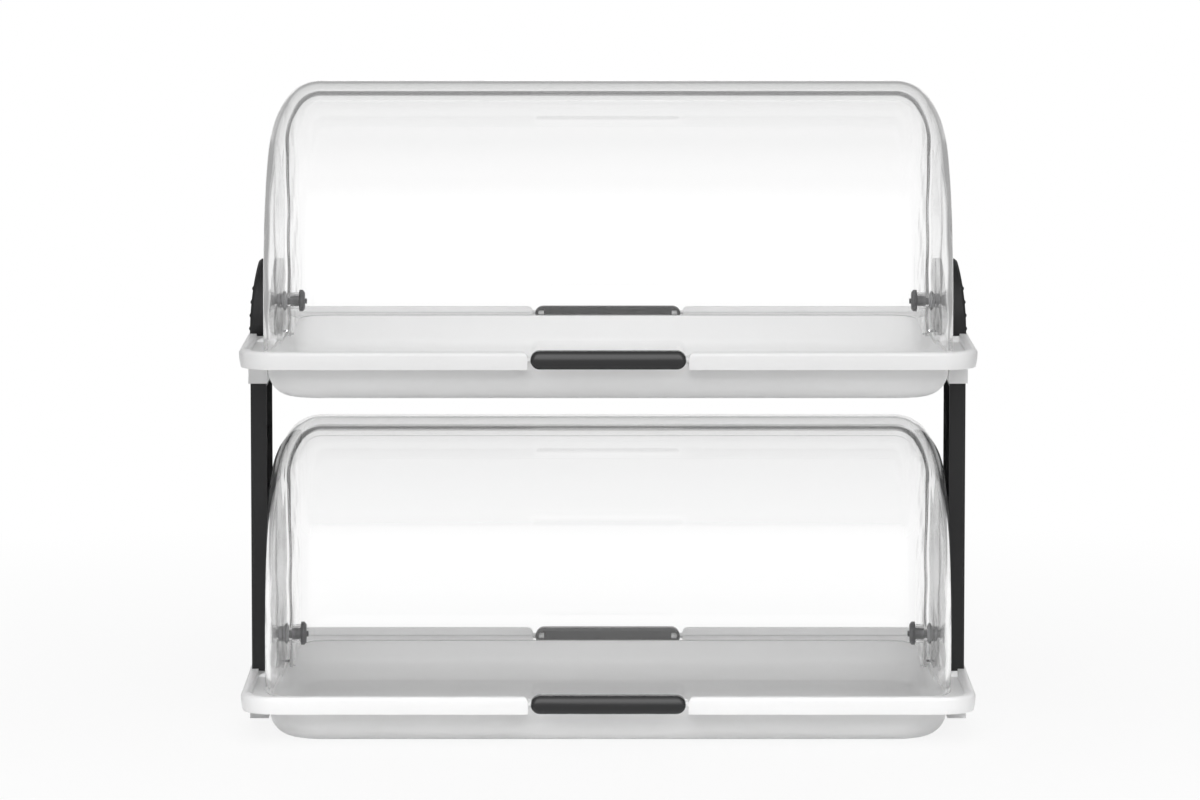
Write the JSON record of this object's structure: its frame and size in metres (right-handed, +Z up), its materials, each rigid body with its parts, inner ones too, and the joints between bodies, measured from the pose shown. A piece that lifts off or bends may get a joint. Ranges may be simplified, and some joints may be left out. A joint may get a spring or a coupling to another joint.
{
  "type": "countertop bread display bin",
  "caption": "Two-tier countertop display for bread and pastries: white trays on side columns, each under a clear roll-top hood that opens to the front and rear.",
  "frame": {"origin": "middle of the standing plane, under the centre of the lower tray", "axes": "+X to the right along the tray's length, +Y from the front handle to the rear handle, +Z up"},
  "size_m": [0.5, 0.3506, 0.4439],
  "materials": {
    "tray_white": "smooth satin white moulded ABS",
    "cover_clear": "clear polished moulded SAN",
    "grip_black": "black moulded plastic with a soft gloss",
    "stand_black": "black matte moulded plastic",
    "pivot_dark": "dark grey smooth moulded plastic"
  },
  "bodies": {
    "stand": {"lower_tray": "tray_white", "upper_tray": "tray_white", "left_column": "stand_black", "right_column": "stand_black", "left_side_cap": "stand_black", "right_side_cap": "stand_black", "lower_front_handle": "grip_black", "lower_rear_handle": "grip_black", "upper_front_handle": "grip_black", "upper_rear_handle": "grip_black"},
    "lower_hood_axis": {"lower_left_pivot_pin": "pivot_dark", "lower_left_pivot_bush": "pivot_dark", "lower_right_pivot_pin": "pivot_dark", "lower_right_pivot_bush": "pivot_dark"},
    "lower_front_cover": {"lower_front_cover": "cover_clear"},
    "lower_rear_cover": {"lower_rear_cover": "cover_clear"},
    "upper_hood_axis": {"upper_left_pivot_pin": "pivot_dark", "upper_left_pivot_bush": "pivot_dark", "upper_right_pivot_pin": "pivot_dark", "upper_right_pivot_bush": "pivot_dark"},
    "upper_front_cover": {"upper_front_cover": "cover_clear"},
    "upper_rear_cover": {"upper_rear_cover": "cover_clear"}
  },
  "joints": [
    {"name": "lower_hood_lift", "type": "slide", "parent": "stand", "child": "lower_hood_axis", "axis": [0, 0, 1], "range_m": [0, 0.02]},
    {"name": "lower_front_cover_roll", "type": "hinge", "parent": "lower_hood_axis", "child": "lower_front_cover", "pos_m": [0, 0, 0.0554], "axis": [-1, 0, 0], "range_deg": [0, 94]},
    {"name": "lower_rear_cover_roll", "type": "hinge", "parent": "lower_hood_axis", "child": "lower_rear_cover", "pos_m": [0, 0, 0.0554], "axis": [1, 0, 0], "range_deg": [0, 94]},
    {"name": "upper_hood_lift", "type": "slide", "parent": "stand", "child": "upper_hood_axis", "axis": [0, 0, 1], "range_m": [0, 0.12]},
    {"name": "upper_front_cover_roll", "type": "hinge", "parent": "upper_hood_axis", "child": "upper_front_cover", "pos_m": [0, 0, 0.2899], "axis": [-1, 0, 0], "range_deg": [0, 94]},
    {"name": "upper_rear_cover_roll", "type": "hinge", "parent": "upper_hood_axis", "child": "upper_rear_cover", "pos_m": [0, 0, 0.2899], "axis": [1, 0, 0], "range_deg": [0, 94]}
  ]
}
